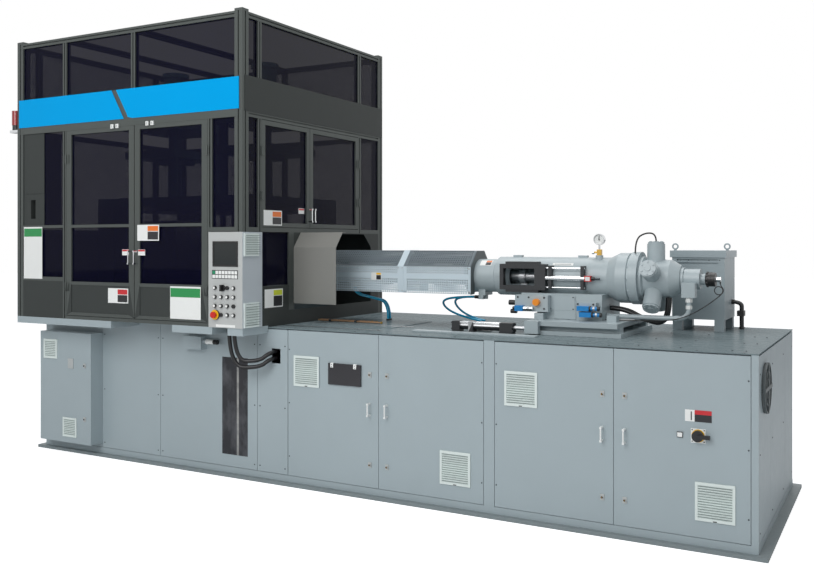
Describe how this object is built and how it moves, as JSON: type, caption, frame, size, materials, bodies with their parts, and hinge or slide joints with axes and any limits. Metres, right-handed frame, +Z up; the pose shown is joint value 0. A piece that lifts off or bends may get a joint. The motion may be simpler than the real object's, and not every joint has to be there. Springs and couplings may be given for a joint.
{
  "type": "blow moulding machine",
  "caption": "Long one-step injection stretch blow moulding machine: glazed moulding enclosure over a steel base cabinet, with a horizontal injection unit on the deck.",
  "frame": {"origin": "centre of the floor plate's footprint, on the floor", "axes": "+X along the machine towards the injection drive, +Y to the back (the doors face -Y), +Z up"},
  "size_m": [5.525, 1.9303, 3.191],
  "materials": {
    "cabinet_paint": "satin blue-grey enamel",
    "floor_plate": "satin blue-grey enamel",
    "deck_paint": "glossy blue-grey enamel",
    "profile_aluminium": "anodised grey",
    "dark_sheet": "satin dark grey",
    "tinted_pane": "dark tint",
    "fascia_blue": "gloss",
    "guard_paint": "satin grey",
    "box_paint": "satin light grey",
    "screen_black": "gloss",
    "control_plastic": "matte",
    "stop_red": "gloss",
    "lamp_red": "translucent",
    "machine_paint": "satin grey",
    "cast_paint": "painted grey",
    "perforated_sheet": "satin pale grey, perforated",
    "ground_steel": "ground",
    "plated_steel": "bright",
    "black_steel": "satin black",
    "gauge_metal": "bright",
    "needle_black": "matte",
    "hose_rubber": "matte",
    "hose_blue": "gloss",
    "mould_steel": "milled"
  },
  "bodies": {
    "machine": {"base_plate": "floor_plate", "base_frame": "cabinet_paint", "base_panels": "cabinet_paint", "deck_plate": "deck_paint", "control_box": "cabinet_paint", "end_fan_guard": "black_steel", "enclosure_frame": "profile_aluminium", "front_fascia": "fascia_blue", "enclosure_sheets": "dark_sheet", "glazing": "tinted_pane", "nozzle_hood": "guard_paint", "beacon_lamp": "lamp_red", "operator_box": "box_paint", "touch_screen": "screen_black", "push_buttons": "control_plastic", "machine_bed": "machine_paint", "clamp_tower": "machine_paint", "injection_mould": "mould_steel", "deck_rails": "cast_paint", "traverse_cylinder": "black_steel", "transformer_cabinet": "cabinet_paint", "eye_bolts": "plated_steel", "cables": "hose_rubber", "water_hoses": "hose_blue"},
    "base_door_1": {"base_door_1": "cabinet_paint"},
    "base_door_2": {"base_door_2": "cabinet_paint"},
    "base_door_3": {"base_door_3": "cabinet_paint"},
    "base_door_4": {"base_door_4": "cabinet_paint"},
    "inspection_flap": {"inspection_flap": "screen_black"},
    "main_switch": {"main_switch": "control_plastic"},
    "control_box_door": {"control_box_door": "cabinet_paint"},
    "front_door_left": {"front_door_left": "profile_aluminium", "front_door_left_glass": "tinted_pane"},
    "front_door_right": {"front_door_right": "profile_aluminium", "front_door_right_glass": "tinted_pane"},
    "side_door_front": {"side_door_front": "profile_aluminium", "side_door_front_glass": "tinted_pane"},
    "side_door_back": {"side_door_back": "profile_aluminium", "side_door_back_glass": "tinted_pane"},
    "emergency_stop": {"emergency_stop": "stop_red"},
    "mode_selector": {"mode_selector": "control_plastic"},
    "rotary_table": {"rotary_table": "ground_steel"},
    "core_platen": {"core_platen": "machine_paint"},
    "stretch_platen": {"stretch_platen": "machine_paint"},
    "blow_mould_front": {"blow_mould_front": "mould_steel"},
    "blow_mould_back": {"blow_mould_back": "mould_steel"},
    "carriage": {"carriage": "cast_paint", "traverse_rod": "plated_steel", "injection_cylinder": "cast_paint", "hydraulic_motor": "cast_paint", "encoder": "black_steel", "barrel_guard": "perforated_sheet", "barrel": "ground_steel", "coupling_guard": "black_steel", "pressure_gauge": "gauge_metal", "valve_manifold": "cast_paint", "hydraulic_hoses": "hose_rubber"},
    "screw_crosshead": {"screw_crosshead": "black_steel"},
    "injection_screw": {"injection_screw": "ground_steel"},
    "gauge_needle": {"gauge_needle": "needle_black"}
  },
  "joints": [
    {"name": "base_door_1_hinge", "type": "hinge", "parent": "machine", "child": "base_door_1", "pos_m": [-0.299, -0.788, 0.5], "axis": [0, 0, -1], "range_deg": [0, 100]},
    {"name": "base_door_2_hinge", "type": "hinge", "parent": "machine", "child": "base_door_2", "pos_m": [1.141, -0.788, 0.5], "axis": [0, 0, 1], "range_deg": [0, 90]},
    {"name": "base_door_3_hinge", "type": "hinge", "parent": "machine", "child": "base_door_3", "pos_m": [1.215, -0.788, 0.5], "axis": [0, 0, -1], "range_deg": [0, 90]},
    {"name": "base_door_4_hinge", "type": "hinge", "parent": "machine", "child": "base_door_4", "pos_m": [2.655, -0.788, 0.5], "axis": [0, 0, 1], "range_deg": [0, 100]},
    {"name": "flap_hinge", "type": "hinge", "parent": "base_door_1", "child": "inspection_flap", "pos_m": [0.1575, -0.8, 0.848], "axis": [-1, 0, 0], "range_deg": [0, 100]},
    {"name": "main_switch_turn", "type": "hinge", "parent": "base_door_4", "child": "main_switch", "pos_m": [2.391, -0.788, 0.608], "axis": [0, -1, 0], "range_deg": [0, 90]},
    {"name": "control_box_hinge", "type": "hinge", "parent": "machine", "child": "control_box_door", "pos_m": [-2.617, -0.906, 0.5], "axis": [0, 0, -1], "range_deg": [0, 100]},
    {"name": "front_door_left_hinge", "type": "hinge", "parent": "machine", "child": "front_door_left", "pos_m": [-2.14, -1.0673, 1.8], "axis": [0, 0, -1], "range_deg": [0, 100]},
    {"name": "front_door_right_hinge", "type": "hinge", "parent": "machine", "child": "front_door_right", "pos_m": [-0.77, -1.0673, 1.8], "axis": [0, 0, 1], "range_deg": [0, 90]},
    {"name": "side_door_front_hinge", "type": "hinge", "parent": "machine", "child": "side_door_front", "pos_m": [-0.4647, -0.855, 2.1], "axis": [0, 0, -1], "range_deg": [0, 100]},
    {"name": "side_door_back_hinge", "type": "hinge", "parent": "machine", "child": "side_door_back", "pos_m": [-0.4647, 0.377, 2.1], "axis": [0, 0, 1], "range_deg": [0, 100]},
    {"name": "emergency_stop_press", "type": "slide", "parent": "machine", "child": "emergency_stop", "axis": [0, 1, 0], "range_m": [0, 0.008]},
    {"name": "mode_selector_turn", "type": "hinge", "parent": "machine", "child": "mode_selector", "pos_m": [-0.628, -1.069, 1.336], "axis": [0, -1, 0], "range_deg": [-45, 45]},
    {"name": "rotary_table_turn", "type": "hinge", "parent": "machine", "child": "rotary_table", "pos_m": [-1.58, 0, 1.9], "axis": [0, 0, 1], "continuous": true},
    {"name": "core_platen_slide", "type": "slide", "parent": "machine", "child": "core_platen", "axis": [0, 0, -1], "range_m": [0, 0.28]},
    {"name": "stretch_platen_slide", "type": "slide", "parent": "machine", "child": "stretch_platen", "axis": [0, 0, -1], "range_m": [0, 0.28]},
    {"name": "blow_mould_front_slide", "type": "slide", "parent": "machine", "child": "blow_mould_front", "axis": [0, -1, 0], "range_m": [0, 0.11]},
    {"name": "blow_mould_back_slide", "type": "slide", "parent": "machine", "child": "blow_mould_back", "axis": [0, 1, 0], "range_m": [0, 0.11]},
    {"name": "carriage_slide", "type": "slide", "parent": "machine", "child": "carriage", "axis": [1, 0, 0], "range_m": [0, 0.12]},
    {"name": "screw_slide", "type": "slide", "parent": "carriage", "child": "screw_crosshead", "axis": [1, 0, 0], "range_m": [0, 0.12]},
    {"name": "screw_turn", "type": "hinge", "parent": "screw_crosshead", "child": "injection_screw", "pos_m": [1.092, 0, 1.412], "axis": [1, 0, 0], "continuous": true},
    {"name": "gauge_needle_turn", "type": "hinge", "parent": "carriage", "child": "gauge_needle", "pos_m": [1.625, -0.05, 1.659], "axis": [0, 1, 0], "range_deg": [-135, 135]}
  ],
  "couplings": [
    {"joint": "blow_mould_back_slide", "follows": "blow_mould_front_slide", "ratio": 1}
  ]
}
